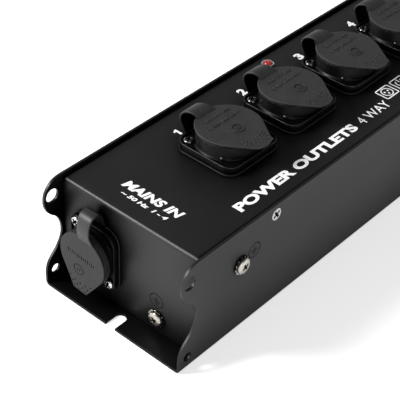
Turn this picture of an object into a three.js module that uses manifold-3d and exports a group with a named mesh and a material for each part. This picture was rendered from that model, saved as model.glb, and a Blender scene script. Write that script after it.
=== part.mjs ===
// Portable power distribution box: a folded steel tray whose side walls run past both ends as
// protective ears, a folded cover between the walls, four power outlets with sealing caps on top,
// a power inlet at one end and a link outlet at the other, a pilot lamp, earth screws and wiring.
// Millimetres. +X along the box (inlet end at -X), +Y across it, +Z up, origin at the middle of
// the bottom face.
import * as THREE from "three";
import { mergeVertices } from "three/addons/utils/BufferGeometryUtils.js";
import Module from "manifold-3d";

const wasm = await Module();
wasm.setup();

// ---- driving dimensions ----
const GAP = 0.3; // clearance between neighbouring pieces
const LENGTH = 258; // outer end face to outer end face
const WIDTH = 80; // over the side walls
const WALL_TOP = 56.4; // side wall height
const PANEL_TOP = 55; // top face of the cover
const SHEET = 1.2; // steel thickness
const EAR = 11.4; // side walls and bottom plate past each end face
const BEND = 2.2; // outer bend radius
const HALF_LENGTH = LENGTH / 2;
const HALF_WIDTH = WIDTH / 2;
const COVER_HALF_WIDTH = HALF_WIDTH - SHEET - GAP;
const UNDER_SHEET = -SHEET - GAP; // where a nut starts, measured from the outer face

const OUTLET_COUNT = 4;
const OUTLET_PITCH = 43.1;
const OUTLET_Y = 1.7;
const END_CONNECTOR = { y: 17.6, z: 27.3 };
const LAMP = { x: -0.7, y: 31.6, holeR: 2.6 };
const COVER_SCREW = { x: 81.7, z: 51.1 };
const SIDE_EARTH = { x: -103.5, z: 37.4 };
const END_EARTH = { y: -17, z: 9.3 };
const EARTH_HOLE_R = 2.3;
const SIDES = [-1, 1];

// ---- finishes ----
const FINISH = {
  powder: { color: 0x1b1b1c, roughness: 0.55, metalness: 0.1 },
  plastic: { color: 0x0f0f10, roughness: 0.38, metalness: 0 },
  rubber: { color: 0x2c2d2e, roughness: 0.75, metalness: 0 },
  nickel: { color: 0xb9b6ad, roughness: 0.28, metalness: 1 },
  blackSteel: { color: 0x202124, roughness: 0.35, metalness: 0.9 },
  chrome: { color: 0xd8d9da, roughness: 0.08, metalness: 1 },
  redLens: { color: 0xb01015, roughness: 0.12, metalness: 0 },
  carrier: { color: 0x3a3d42, roughness: 0.5, metalness: 0.1 },
  insulation: { roughness: 0.5, metalness: 0 }, // each wire adds its colour
};

// ---- frames ----
const moved = (x, y, z) => new THREE.Matrix4().makeTranslation(x, y, z);
const turnedZ = (angle) => new THREE.Matrix4().makeRotationZ(angle);
const at = (x, y, z, axes) => moved(x, y, z).multiply(axes);
const within = (frame, place) => frame.clone().multiply(place);

// Directions that local x, y and z take in the box.
function axes(x, y, z) {
  const [xAxis, yAxis, zAxis] = [x, y, z].map((direction) => new THREE.Vector3(...direction));
  return new THREE.Matrix4().makeBasis(xAxis, yAxis, zAxis);
}
const TO_PLUS_X = axes([0, 1, 0], [0, 0, 1], [1, 0, 0]);
const TO_MINUS_X = axes([0, -1, 0], [0, 0, 1], [-1, 0, 0]);
const TO_PLUS_Y = axes([1, 0, 0], [0, 0, -1], [0, 1, 0]);
const TO_MINUS_Y = axes([1, 0, 0], [0, 0, 1], [0, -1, 0]);
const UPRIGHT_TO_PLUS_Y = axes([-1, 0, 0], [0, 0, 1], [0, 1, 0]);

// ---- solids ----
function solid(source, matrix) {
  const geometry = source.index ? source.toNonIndexed() : source.clone();
  geometry.deleteAttribute("normal");
  geometry.deleteAttribute("uv");
  if (matrix) geometry.applyMatrix4(matrix);
  const merged = mergeVertices(geometry, 1e-4);
  return new wasm.Manifold(
    new wasm.Mesh({
      numProp: 3,
      vertProperties: merged.attributes.position.array,
      triVerts: new Uint32Array(merged.index.array),
    }),
  );
}

function toGeometry(piece) {
  const mesh = piece.getMesh();
  const geometry = new THREE.BufferGeometry();
  geometry.setAttribute("position", new THREE.BufferAttribute(mesh.vertProperties, 3));
  geometry.setIndex(new THREE.BufferAttribute(mesh.triVerts, 1));
  geometry.computeVertexNormals();
  return geometry;
}

// Box between two corners.
function box(x0, y0, z0, x1, y1, z1) {
  return solid(
    new THREE.BoxGeometry(x1 - x0, y1 - y0, z1 - z0),
    moved((x0 + x1) / 2, (y0 + y1) / 2, (z0 + z1) / 2),
  );
}

// Turned piece about +Z: [radius, z] pairs from low z to high z, both ends on the axis.
function turned(profile, segments, matrix) {
  const points = profile.map(([radius, z]) => new THREE.Vector2(radius, z));
  const geometry = new THREE.LatheGeometry(points, segments);
  geometry.rotateX(Math.PI / 2); // the lathe axis becomes +Z
  return solid(geometry, matrix);
}

function rod(radius, z0, z1, segments, matrix) {
  return turned([[0, z0], [radius, z0], [radius, z1], [0, z1]], segments, matrix);
}

// Cutter for a round hole through a sheet whose outer face is at local z = 0.
const punch = (radius, segments, frame) => rod(radius, -4, 2, segments, frame);

function plate(shape, z0, z1, curveSegments, matrix) {
  const geometry = new THREE.ExtrudeGeometry(shape, {
    depth: z1 - z0,
    bevelEnabled: false,
    curveSegments,
    steps: 1,
  });
  geometry.translate(0, 0, z0);
  return solid(geometry, matrix);
}

function polygon(points) {
  const shape = new THREE.Shape(points.map(([x, y]) => new THREE.Vector2(x, y)));
  shape.closePath();
  return shape;
}

// Flat ring: polygon outline with radiusAt(i) at each corner, and a round hole.
function polygonRing(corners, radiusAt, holeR, z0, z1, curveSegments) {
  const points = Array.from({ length: corners }, (_, i) => {
    const angle = (i / corners) * Math.PI * 2;
    return [radiusAt(i) * Math.cos(angle), radiusAt(i) * Math.sin(angle)];
  });
  const shape = polygon(points);
  const hole = new THREE.Path();
  hole.absarc(0, 0, holeR, 0, Math.PI * 2, true);
  shape.holes.push(hole);
  return plate(shape, z0, z1, curveSegments);
}

// Nut of the given height under a sheet whose outer face is at local z = 0.
function hexNut(acrossFlats, holeR, height) {
  const cornerR = acrossFlats / Math.sqrt(3);
  return polygonRing(6, () => cornerR, holeR, UNDER_SHEET - height, UNDER_SHEET, 4);
}

// Rectangle with rounded corners; the +X +Y corner may have a radius of its own.
function roundedRect(width, height, r, ownR = r) {
  const shape = new THREE.Shape();
  const x = width / 2;
  const y = height / 2;
  shape.moveTo(-x + r, -y);
  shape.lineTo(x - r, -y);
  shape.absarc(x - r, -y + r, r, -Math.PI / 2, 0);
  shape.lineTo(x, y - ownR);
  shape.absarc(x - ownR, y - ownR, ownR, 0, Math.PI / 2);
  shape.lineTo(-x + r, y);
  shape.absarc(-x + r, y - r, r, Math.PI / 2, Math.PI);
  shape.lineTo(-x, -y + r);
  shape.absarc(-x + r, -y + r, r, Math.PI, Math.PI * 1.5);
  return shape;
}

// Open channel section with rounded outer and inner bends, base at y = 0.
function channelShape(half, height) {
  const bendX = half - BEND;
  const innerR = BEND - SHEET;
  const shape = new THREE.Shape();
  shape.moveTo(-half, height);
  shape.lineTo(-half, BEND);
  shape.absarc(-bendX, BEND, BEND, Math.PI, Math.PI * 1.5, false);
  shape.lineTo(bendX, 0);
  shape.absarc(bendX, BEND, BEND, -Math.PI / 2, 0, false);
  shape.lineTo(half, height);
  shape.lineTo(half - SHEET, height);
  shape.lineTo(half - SHEET, BEND);
  shape.absarc(bendX, BEND, innerR, 0, -Math.PI / 2, true);
  shape.lineTo(-bendX, SHEET);
  shape.absarc(-bendX, BEND, innerR, -Math.PI / 2, -Math.PI, true);
  shape.lineTo(-half + SHEET, height);
  shape.closePath();
  return shape;
}

const root = new THREE.Group();
function add(name, piece, finish, matrix) {
  const mesh = new THREE.Mesh(toGeometry(piece), new THREE.MeshStandardMaterial(finish));
  mesh.name = name;
  if (matrix) mesh.applyMatrix4(matrix);
  root.add(mesh);
}

// ---- places of the fittings; local +Z points out of the sheet ----
const sideEarthFrame = at(SIDE_EARTH.x, -HALF_WIDTH, SIDE_EARTH.z, TO_MINUS_Y);
const endEarthFrame = at(-HALF_LENGTH, END_EARTH.y, END_EARTH.z, TO_MINUS_X);
const lampFrame = moved(LAMP.x, LAMP.y, PANEL_TOP);

// Cover screw places on faces at +-halfWidth, in the order of COVER_SCREW_NAMES.
const COVER_SCREW_NAMES = ["near_inlet", "far_inlet", "near_link", "far_link"]; // near is -Y
const coverScrewFrames = (halfWidth) =>
  SIDES.flatMap((x) =>
    SIDES.map((y) =>
      at(x * COVER_SCREW.x, y * halfWidth, COVER_SCREW.z, y < 0 ? TO_MINUS_Y : TO_PLUS_Y),
    ),
  );

// Connector sizes in their own frame: +Z out of the panel, hinge towards +Y, pull tab towards -Y.
const OUTLET = {
  flange: [34, 32.5, 5.4], // roundedRect sizes
  flangeTop: 4.7,
  gasket: [35, 33.4, 5.9], // roundedRect sizes
  gasketTop: 1.2,
  collar: { r: 14.7, top: 10.3, boreR: 12.6 },
  screw: { x: 12.6, y: 12, headR: 2.25, finish: FINISH.blackSteel },
  cap: { r: 15.3, tabReach: 20.6, tabHalf: 5, turn: 0, low: 10.9 }, // turn in degrees
  plug: { r: 11.4, low: 7.6 },
  hinge: { y: 17.6, z: 8.8 },
  strap: [-7.8, 1.2], // x range
};
const LINK = { ...OUTLET, screw: { ...OUTLET.screw, finish: FINISH.nickel } };
const INLET = {
  flange: [26, 31, 4.5, 7],
  flangeTop: 3.9,
  gasket: [26.8, 31.8, 5, 7.3],
  gasketTop: 1.1,
  collar: { r: 12.2, top: 8.5, boreR: 10.4 },
  screw: { x: 9.5, y: 12, headR: 2.35, finish: FINISH.nickel },
  cap: { r: 13.2, tabReach: 18.9, tabHalf: 4.4, turn: -5, low: 8.8 },
  plug: { r: 9.2, low: 6.2 },
  skirt: { innerR: 12.5, outerR: 13.05, low: 6.2 },
  hinge: { y: 18.2, z: 7.4 },
  strap: [-1.2, 6],
};

const endFrame = (x, direction) => at(x, END_CONNECTOR.y, END_CONNECTOR.z, direction);
const connectors = [
  { name: "inlet", kind: INLET, frame: endFrame(-HALF_LENGTH, TO_MINUS_X), atEnd: true },
  { name: "link", kind: LINK, frame: endFrame(HALF_LENGTH, TO_PLUS_X), atEnd: true },
];
for (let i = 0; i < OUTLET_COUNT; i++) {
  const x = (i - (OUTLET_COUNT - 1) / 2) * OUTLET_PITCH;
  const frame = moved(x, OUTLET_Y, PANEL_TOP);
  connectors.push({ name: `outlet_${i + 1}`, kind: OUTLET, frame, atEnd: false });
}
// The two flange screws sit on a diagonal.
const flangeScrewPlaces = ({ screw }) =>
  SIDES.map((side) => moved(side * screw.x, -side * screw.y, 0));

// ---- tray: bottom plate, two side walls, ears ----
// Ear edge seen from the side, top to bottom: [u, z], u measured from the end face into the box.
const EAR_EDGE = [
  [3.0, WALL_TOP], [-1.8, 56.1], [-5.6, 54.6], [-8.7, 51.9], [-10.5, 48.6], [-10.9, 45.2],
  [-9.6, 41.4], [-6.6, 37.4], [-3.6, 33.4], [-1.6, 28.9], [-1.5, 24.6], [-3.3, 20.3],
  [-6.3, 16.8], [-9.4, 13.7], [-11.0, 10.9], [-EAR, 7.4],
];
const EAR_HOLES = [
  { u: -6.1, z: 47.9, r: 3.4, segments: 20 },
  { u: -6.3, z: 6.8, r: 2.3, segments: 14 },
];
const SLOT = { width: 5.6, depth: 9 }; // open slot in each end of the bottom plate
const COUNTERSINK = [[0, -2], [1.9, -2], [1.9, -1.36], [3.3, 0.04], [3.3, 1], [0, 1]]; // [r, z]

function wallOutline() {
  const control = EAR_EDGE.map(([u, z]) => new THREE.Vector3(u, z, 0));
  const edge = new THREE.CatmullRomCurve3(control, false, "centripetal").getPoints(24);
  return polygon([
    [-HALF_LENGTH - EAR, 0],
    [HALF_LENGTH + EAR, 0],
    ...edge.map((point) => [HALF_LENGTH - point.x, point.y]).reverse(),
    ...edge.map((point) => [-HALF_LENGTH + point.x, point.y]),
  ]);
}

// Slot with a round inner end about the origin, running out towards -X.
function slotCutter(matrix) {
  const r = SLOT.width / 2;
  const overrun = 20; // well past the plate edge
  const shape = new THREE.Shape();
  shape.absarc(0, 0, r, -Math.PI / 2, Math.PI / 2, false);
  shape.lineTo(-overrun, r);
  shape.lineTo(-overrun, -r);
  shape.closePath();
  return plate(shape, -1, 3, 7, matrix);
}

function chassisTray() {
  const end = HALF_LENGTH + EAR;
  const beyond = HALF_WIDTH + 1; // cutters reach past both walls
  let tray = plate(channelShape(HALF_WIDTH, WALL_TOP), -end, end, 3, TO_PLUS_X);
  tray = tray.intersect(plate(wallOutline(), -beyond, beyond, 6, UPRIGHT_TO_PLUS_Y));
  for (const side of SIDES) {
    const slotX = side * (end - SLOT.depth + SLOT.width / 2);
    tray = tray.subtract(slotCutter(at(slotX, 0, 0, turnedZ(side < 0 ? 0 : Math.PI))));
    for (const { u, z, r, segments } of EAR_HOLES) {
      const frame = at(side * (HALF_LENGTH - u), 0, z, TO_PLUS_Y);
      tray = tray.subtract(rod(r, -beyond, beyond, segments, frame));
    }
  }
  for (const frame of coverScrewFrames(HALF_WIDTH)) {
    tray = tray.subtract(turned(COUNTERSINK, 14, frame));
  }
  return tray.subtract(punch(EARTH_HOLE_R, 12, sideEarthFrame));
}
add("chassis_tray", chassisTray(), FINISH.powder);

// ---- cover: top panel, two end faces, inner lips that the side screws enter ----
function topCover() {
  const low = SHEET + GAP;
  const lipLow = 44;
  const lipInset = 0.8; // keeps the lips inside the bends, yet joined to the sheet
  const lipEnd = HALF_LENGTH - lipInset;
  // The channel is drawn upside down, then turned over.
  const section = channelShape(HALF_LENGTH, PANEL_TOP - low);
  const overturned = at(0, 0, PANEL_TOP, TO_PLUS_Y);
  let cover = plate(section, -COVER_HALF_WIDTH, COVER_HALF_WIDTH, 3, overturned);
  for (const y0 of [-COVER_HALF_WIDTH, COVER_HALF_WIDTH - SHEET]) {
    cover = cover.add(box(-lipEnd, y0, lipLow, lipEnd, y0 + SHEET, PANEL_TOP - lipInset));
  }
  for (const { kind, frame } of connectors) {
    cover = cover.subtract(punch(12, 24, frame));
    for (const place of flangeScrewPlaces(kind)) {
      cover = cover.subtract(punch(1.55, 8, within(frame, place)));
    }
  }
  cover = cover.subtract(punch(LAMP.holeR, 16, lampFrame));
  cover = cover.subtract(punch(EARTH_HOLE_R, 12, endEarthFrame));
  for (const frame of coverScrewFrames(COVER_HALF_WIDTH)) {
    cover = cover.subtract(punch(1.8, 10, frame));
  }
  return cover;
}
add("top_cover", topCover(), FINISH.powder);

// ---- cover and earth screws ----
// Cutter for a cross recess sunk from a head top at z.
function crossRecess(depth, half, z) {
  const halfSlot = 0.4;
  const low = z - depth;
  return box(-half, -halfSlot, low, half, halfSlot, z + 1).add(
    box(-halfSlot, -half, low, halfSlot, half, z + 1),
  );
}

function countersunkScrew() {
  const profile = [[0, -6.5], [1.5, -6.5], [1.5, -1.55], [2.95, -0.1], [2.95, 0], [0, 0]];
  return turned(profile, 14).subtract(crossRecess(0.8, 1.5, 0));
}
coverScrewFrames(HALF_WIDTH).forEach((frame, i) => {
  add("cover_screw_" + COVER_SCREW_NAMES[i], countersunkScrew(), FINISH.nickel, frame);
});

function panHeadScrew() {
  const [headR, headHeight, shankR, length] = [3.7, 1.8, 2, 9];
  const profile = [
    [0, -length], [shankR, -length], [shankR, 0], [headR, 0], [headR, headHeight * 0.55],
    [headR * 0.86, headHeight * 0.85], [headR * 0.55, headHeight], [0, headHeight],
  ];
  return turned(profile, 16).subtract(crossRecess(headHeight * 0.5, headR * 0.55, headHeight));
}

// Toothed lock washer; each tooth takes two outer and two inner corners.
const WASHER = { r: 4.4, toothDepth: 0.9, teeth: 10, thickness: 0.7 };
function lockWasher() {
  const { r, toothDepth, teeth, thickness } = WASHER;
  const radiusAt = (i) => (i % 4 < 2 ? r : r - toothDepth);
  return polygonRing(teeth * 4, radiusAt, EARTH_HOLE_R, 0, thickness, 5);
}

function addEarthPoint(name, frame) {
  const screwZ = GAP + WASHER.thickness + 0.05;
  add(name + "_washer", lockWasher(), FINISH.nickel, within(frame, moved(0, 0, GAP)));
  add(name + "_screw", panHeadScrew(), FINISH.nickel, within(frame, moved(0, 0, screwZ)));
  add(name + "_nut", hexNut(7, EARTH_HOLE_R, 3.2), FINISH.nickel, frame);
}
addEarthPoint("side_earth", sideEarthFrame);
addEarthPoint("end_earth", endEarthFrame);

// ---- connectors ----
const BARREL = { r: 11.6, low: -21, boreR: 9.8, boreLow: -18, rearHoleR: 5.4 };
const TAB = { low: -30.5, pitch: 3.6, halfWidth: 2.4, halfThickness: 0.4 }; // terminal tabs
const SCREW_SEAT_DEPTH = 0.8; // screw seat below the flange top

// Moulded housing: flange, round collar, barrel through the panel, open at the front.
function housing(kind) {
  const { flangeTop, collar } = kind;
  const flangeLow = kind.gasketTop + GAP;
  let body = plate(roundedRect(...kind.flange), flangeLow, flangeTop, 4);
  body = body.add(rod(collar.r, flangeTop - 0.5, collar.top, 28));
  body = body.add(rod(BARREL.r, BARREL.low, flangeLow + 0.5, 20));
  body = body.subtract(rod(collar.boreR, 3.2, collar.top + 1, 28));
  body = body.subtract(rod(BARREL.boreR, BARREL.boreLow, 4, 20));
  body = body.subtract(rod(BARREL.rearHoleR, BARREL.low - 1, BARREL.boreLow + 1, 12));
  // stepped screw holes, kept out of the collar
  const seat = flangeTop - SCREW_SEAT_DEPTH;
  const seatR = kind.screw.headR + GAP;
  const profile = [[0, 0], [1.65, 0], [1.65, seat], [seatR, seat], [seatR, 8], [0, 8]];
  for (const place of flangeScrewPlaces(kind)) {
    const hole = turned(profile, 10, place);
    body = body.subtract(hole.subtract(rod(collar.r, -1, 30, 28)));
  }
  return body;
}

// Contact carrier with three contact slots, and three terminal tabs behind it.
function contactCarrier(atEnd) {
  let core = rod(7.6, BARREL.boreLow + GAP, 2.4, 16);
  core = core.add(rod(BARREL.rearHoleR - GAP, -23, -17.2, 12));
  for (let i = 0; i < 3; i++) {
    const place = turnedZ((i / 3) * Math.PI * 2).multiply(moved(0, 4.6, -1));
    core = core.subtract(solid(new THREE.BoxGeometry(3.2, 1.8, 10), place));
  }
  const { low, pitch, halfWidth, halfThickness } = TAB;
  const top = -22.5;
  for (const i of [-1, 0, 1]) {
    const a = i * pitch - halfThickness;
    const b = i * pitch + halfThickness;
    // stacked along local y at the box ends, along local x on the top panel
    const tab = atEnd
      ? box(-halfWidth, a, low, halfWidth, b, top)
      : box(a, -halfWidth, low, b, halfWidth, top);
    core = core.add(tab);
  }
  return core;
}

// Sealing gasket under the flange, with the strap leg that carries the cap.
function gasketStrap({ gasket, gasketTop, flange, flangeTop, hinge, strap, screw }) {
  const low = GAP * 0.5;
  let seal = plate(roundedRect(...gasket), low, gasketTop, 4).subtract(punch(11.95, 20));
  for (const place of flangeScrewPlaces({ screw })) {
    seal = seal.subtract(punch(1.65, 8, place));
  }
  const edge = flange[1] / 2 + GAP;
  const { y, z } = hinge;
  const leg = polygon([ // [y, z]
    [edge - 1.4, low], [edge + 1.3, low],
    [y + 0.9, z - 2.4], [y + 1.6, z - 1.2], [y + 2.0, z], [y + 1.4, z + 1.4],
    [y, z + 2.0], [y - 1.2, z + 1.2], [y - 1.3, z - 1.2],
    [edge, flangeTop + 0.3], [edge, gasketTop], [edge - 1.4, gasketTop],
  ]);
  return seal.add(plate(leg, ...strap, 2, TO_PLUS_X));
}

// Egg shape of a cap: a disc that runs out along tangents into a pull tab towards -Y.
function capShape({ r, tabReach, tabHalf }) {
  const corner = 1.6;
  const toTab = Math.atan2(-tabReach, tabHalf);
  const right = toTab + Math.acos(r / Math.hypot(tabHalf, tabReach));
  const left = Math.PI - right;
  // step of one corner length along the left tangent, towards the tab
  const dx = -tabHalf - Math.cos(left) * r;
  const dy = -tabReach - Math.sin(left) * r;
  const length = Math.hypot(dx, dy);
  const stepX = (dx / length) * corner;
  const stepY = (dy / length) * corner;
  const shape = new THREE.Shape();
  shape.absarc(0, 0, r, right, left, false);
  shape.lineTo(-tabHalf - stepX, -tabReach - stepY);
  shape.quadraticCurveTo(-tabHalf, -tabReach, -tabHalf + corner, -tabReach);
  shape.lineTo(tabHalf - corner, -tabReach);
  shape.quadraticCurveTo(tabHalf, -tabReach, tabHalf + stepX, -tabReach - stepY);
  shape.closePath();
  return shape;
}

// Sealing cap: disc with pull tab, and the hollow plug that enters the collar.
function sealingCap({ cap, plug, skirt }) {
  const thickness = 1.4;
  const plugWall = 1.6;
  const top = cap.low + 0.4; // plug and skirt run up into the disc
  const turn = turnedZ((cap.turn * Math.PI) / 180);
  let piece = plate(capShape(cap), cap.low, cap.low + thickness, 18, turn);
  piece = piece.add(rod(plug.r, plug.low, top, 20));
  piece = piece.subtract(rod(plug.r - plugWall, plug.low - 1, cap.low, 16));
  if (skirt) {
    // closes round the outside of the collar
    const bore = rod(skirt.innerR, skirt.low - 1, cap.low, 28);
    piece = piece.add(rod(skirt.outerR, skirt.low, top, 28).subtract(bore));
  }
  return piece;
}

function flangeScrew({ flangeTop, screw: { headR } }) {
  const z = flangeTop - SCREW_SEAT_DEPTH + GAP;
  const profile = [
    [0, -7], [1.35, -7], [1.35, z], [headR, z], [headR, z + 1.1], [headR * 0.72, z + 1.8],
    [0, z + 1.8],
  ];
  return turned(profile, 12);
}

for (const { name, kind, frame, atEnd } of connectors) {
  add(name + "_housing", housing(kind), FINISH.plastic, frame);
  add(name + "_contacts", contactCarrier(atEnd), FINISH.carrier, frame);
  add(name + "_gasket_strap", gasketStrap(kind), FINISH.rubber, frame);
  add(name + "_cap", sealingCap(kind), FINISH.rubber, frame);
  flangeScrewPlaces(kind).forEach((place, i) => {
    add(`${name}_screw_${"ab"[i]}`, flangeScrew(kind), kind.screw.finish, within(frame, place));
  });
}

// ---- pilot lamp: [radius, z] profiles ----
const BEZEL = [
  [0, -9], [2.3, -9], [2.3, GAP], [3.3, GAP], [3.3, 0.45], [2.9, 0.9], [2.25, 0.9],
  [2.25, 0.6], [0, 0.6],
];
const LENS = [[0, 0.65], [2.1, 0.65], [2.1, 0.95], [1.75, 1.4], [1.1, 1.7], [0, 1.85]];
add("lamp_bezel", turned(BEZEL, 24), FINISH.chrome, lampFrame);
add("lamp_lens", turned(LENS, 20), FINISH.redLens, lampFrame);
add("lamp_nut", hexNut(8, LAMP.holeR, 2), FINISH.nickel, lampFrame);

// ---- wiring: three conductors under the outlet tabs, rising or falling to the end connectors ----
const WIRE_R = 1.4;
const WIRES = [
  ["wire_line", 0x6b3a1c],
  ["wire_neutral", 0x2456a6],
  ["wire_earth", 0x8fae2a],
];

function wire(offsetY) {
  const y = OUTLET_Y + offsetY;
  const z = PANEL_TOP + TAB.low - GAP - WIRE_R;
  const endX = HALF_LENGTH + TAB.low - GAP;
  const endY = END_CONNECTOR.y + offsetY;
  const endZ = END_CONNECTOR.z;
  const half = [ // from the middle to the +X end; the other half mirrors it
    [40, y, z], [endX - 25, y, z], [endX - 16, (y + endY) / 2, (endZ + z) / 2],
    [endX - 6, endY, endZ], [endX, endY, endZ],
  ];
  const mirrored = half.map(([px, py, pz]) => [-px, py, pz]).reverse();
  const points = [...mirrored, [0, y, z], ...half].map((point) => new THREE.Vector3(...point));
  const circle = new THREE.Shape();
  circle.absarc(0, 0, WIRE_R, 0, Math.PI * 2, false);
  return solid(
    new THREE.ExtrudeGeometry(circle, {
      extrudePath: new THREE.CatmullRomCurve3(points, false, "centripetal"),
      steps: 30,
      bevelEnabled: false,
      curveSegments: 3,
    }),
  );
}
WIRES.forEach(([name, color], i) => {
  add(name, wire((i - 1) * TAB.pitch), { ...FINISH.insulation, color });
});

export default root;
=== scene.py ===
# Portable power distribution box: a folded tray and cover with an inlet, a link socket, four
# capped outlets and a pilot lamp. The length runs along X (inlet at -X, link at +X), the width
# along Y, and the outlets face +Z. Shapes are made in millimetres, the connectors' in their own
# frame with +Z pointing out of the panel, and piece() places them in metres.
import math
from types import SimpleNamespace

import bmesh
import bpy
import numpy as np
from mathutils import Matrix, Vector


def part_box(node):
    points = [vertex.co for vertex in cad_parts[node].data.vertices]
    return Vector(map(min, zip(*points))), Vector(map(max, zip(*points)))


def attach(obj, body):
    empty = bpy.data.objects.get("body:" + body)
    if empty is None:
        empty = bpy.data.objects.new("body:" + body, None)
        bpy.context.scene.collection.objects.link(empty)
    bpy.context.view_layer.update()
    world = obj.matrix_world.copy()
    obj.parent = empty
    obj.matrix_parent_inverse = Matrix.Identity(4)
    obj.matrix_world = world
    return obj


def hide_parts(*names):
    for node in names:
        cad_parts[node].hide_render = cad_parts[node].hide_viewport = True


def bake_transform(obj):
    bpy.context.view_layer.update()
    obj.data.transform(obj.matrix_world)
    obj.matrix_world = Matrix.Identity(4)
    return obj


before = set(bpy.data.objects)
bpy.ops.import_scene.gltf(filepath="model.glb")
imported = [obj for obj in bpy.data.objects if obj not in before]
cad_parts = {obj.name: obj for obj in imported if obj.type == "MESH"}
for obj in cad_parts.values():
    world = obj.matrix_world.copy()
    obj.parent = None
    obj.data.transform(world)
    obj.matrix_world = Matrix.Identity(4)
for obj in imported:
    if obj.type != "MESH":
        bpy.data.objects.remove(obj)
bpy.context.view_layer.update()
ROOT = "enclosure"
SCENE = bpy.context.scene
TAU = 2 * math.pi
TO_METRES = Matrix.Scale(0.001, 4)
X, Y, Z = (1, 0, 0), (0, 1, 0), (0, 0, 1)
MINUS_X, MINUS_Y = (-1, 0, 0), (0, -1, 0)


# ------------------------------------------------------------------ sizes and places (mm)
def box_mm(node):
    low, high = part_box(node)
    return np.array(low) * 1000, np.array(high) * 1000


def middle(node):
    low, high = box_mm(node)
    return (low + high) / 2


def screw_centre(connector):
    """The point halfway between a connector's two flange screws."""
    return (middle(connector + "_screw_a") + middle(connector + "_screw_b")) / 2


def basis(x_axis, y_axis, z_axis, origin):
    return Matrix([*zip(x_axis, y_axis, z_axis, origin), (0, 0, 0, 1)])


TRAY_END, HALF_WIDTH, WALL_TOP = (float(v) for v in box_mm("chassis_tray")[1])
COVER_HIGH = box_mm("top_cover")[1]
HALF_LENGTH = float(COVER_HIGH[0])
PANEL_TOP = float(COVER_HIGH[2])
SHEET = 1.2
BEND = 2.2
COVER_SCREW_X, COVER_SCREW_Z = 81.7, 51.1
LAMP = middle("lamp_bezel")[:2]
END_EARTH = middle("end_earth_screw")[1:]
SIDE_EARTH = middle("side_earth_screw")[[0, 2]]

_, END_Y, END_Z = screw_centre("inlet")
FRAMES = {
    "inlet": basis(MINUS_Y, Z, MINUS_X, (-HALF_LENGTH, END_Y, END_Z)),
    "link": basis(Y, Z, X, (HALF_LENGTH, END_Y, END_Z)),
}
for i in range(1, 5):
    FRAMES[f"outlet_{i}"] = basis(X, Y, Z, (*screw_centre(f"outlet_{i}")[:2], PANEL_TOP))


# ------------------------------------------------------------------ solids as (vertices, faces)
def ring_solid(rings, cyclic=False):
    """Solid from rings of equal point count. Cyclic rings close on themselves; others are capped."""
    n = len(rings[0])
    count = len(rings)
    verts = [tuple(map(float, p)) for ring in rings for p in ring]
    faces = []
    for i in range(count if cyclic else count - 1):
        a, b = i * n, ((i + 1) % count) * n
        for j in range(n):
            k = (j + 1) % n
            faces.append((a + j, a + k, b + k, b + j))
    if not cyclic:
        faces.append(tuple(reversed(range(n))))
        faces.append(tuple(range((count - 1) * n, count * n)))
    return verts, faces


def merged(parts):
    verts, faces = [], []
    for part_verts, part_faces in parts:
        offset = len(verts)
        verts += list(part_verts)
        faces += [tuple(i + offset for i in face) for face in part_faces]
    return verts, faces


def shifted(part, dx=0.0, dy=0.0, dz=0.0, turn=0.0):
    c, s = math.cos(turn), math.sin(turn)
    return [(x * c - y * s + dx, x * s + y * c + dy, z + dz) for x, y, z in part[0]], part[1]


def arc(radius, start, sweep, steps, centre=(0, 0)):
    angles = [start + sweep * i / steps for i in range(steps + 1)]
    return [(centre[0] + radius * math.cos(a), centre[1] + radius * math.sin(a)) for a in angles]


def loop(radius, n, centre=(0, 0)):
    return arc(radius, 0, TAU, n, centre)[:-1]


def turned(profile, n, axis=2, centre=(0, 0)):
    """Solid of revolution from (radius, place along the axis) pairs; centre is across the axis."""
    rings = []
    for radius, along in profile:
        ring = [list(p) for p in loop(radius, n, centre)]
        for p in ring:
            p.insert(axis, along)
        rings.append(ring)
    return ring_solid(rings)


def rod(radius, start, end, axis, centre, n):
    return turned([(radius, start), (radius, end)], n, axis, centre)


def prism(outline, z0, z1):
    """Extrudes a closed 2D outline."""
    return ring_solid([[(x, y, z) for x, y in outline] for z in (z0, z1)])


def block(x0, y0, z0, x1, y1, z1):
    return prism([(x0, y0), (x1, y0), (x1, y1), (x0, y1)], z0, z1)


def ridge(path, width, z0, z1, closed=False):
    """Thin line along a 2D path, narrower at z1 than at z0."""
    path = np.array(path, float)
    n = len(path)
    rings = []
    for i, point in enumerate(path):
        if closed:
            along = path[(i + 1) % n] - path[i - 1]
        else:
            along = path[min(i + 1, n - 1)] - path[max(i - 1, 0)]
        along = along / (np.linalg.norm(along) + 1e-12)
        wide = np.array([-along[1], along[0]]) * width / 2
        slim = wide * 0.7
        rings.append([(*(point + wide), z0), (*(point - wide), z0),
                      (*(point - slim), z1), (*(point + slim), z1)])
    return ring_solid(rings, cyclic=closed)


def spline(points, steps):
    """Catmull-Rom through points of any dimension."""
    p = np.array(points, float)
    q = np.vstack([2 * p[0] - p[1], p, 2 * p[-1] - p[-2]])
    out = []
    for i in range(1, len(q) - 2):
        a, b, c, d = q[i - 1 : i + 3]
        for step in range(steps):
            t = step / steps
            square = (2 * a - 5 * b + 4 * c - d) * t * t
            out.append(0.5 * ((2 * b) + (-a + c) * t + square + (-a + 3 * b - 3 * c + d) * t**3))
    out.append(q[-2])
    return np.array(out)


# Outlines as the convex hull of circles (x, y, radius), in polar form
def hull_radius(circles, inset, angles):
    """Distance from the middle to the hull, pulled in by inset, at each angle."""
    th = np.linspace(0, TAU, 1440, endpoint=False)
    support = np.max(
        [cx * np.cos(th) + cy * np.sin(th) + max(r - inset, 0.02) for cx, cy, r in circles], axis=0
    )
    c = np.cos(th[None, :] - angles[:, None])
    return np.min(np.where(c > 0.05, support[None, :] / np.maximum(c, 0.05), 1e9), axis=1)


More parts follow.
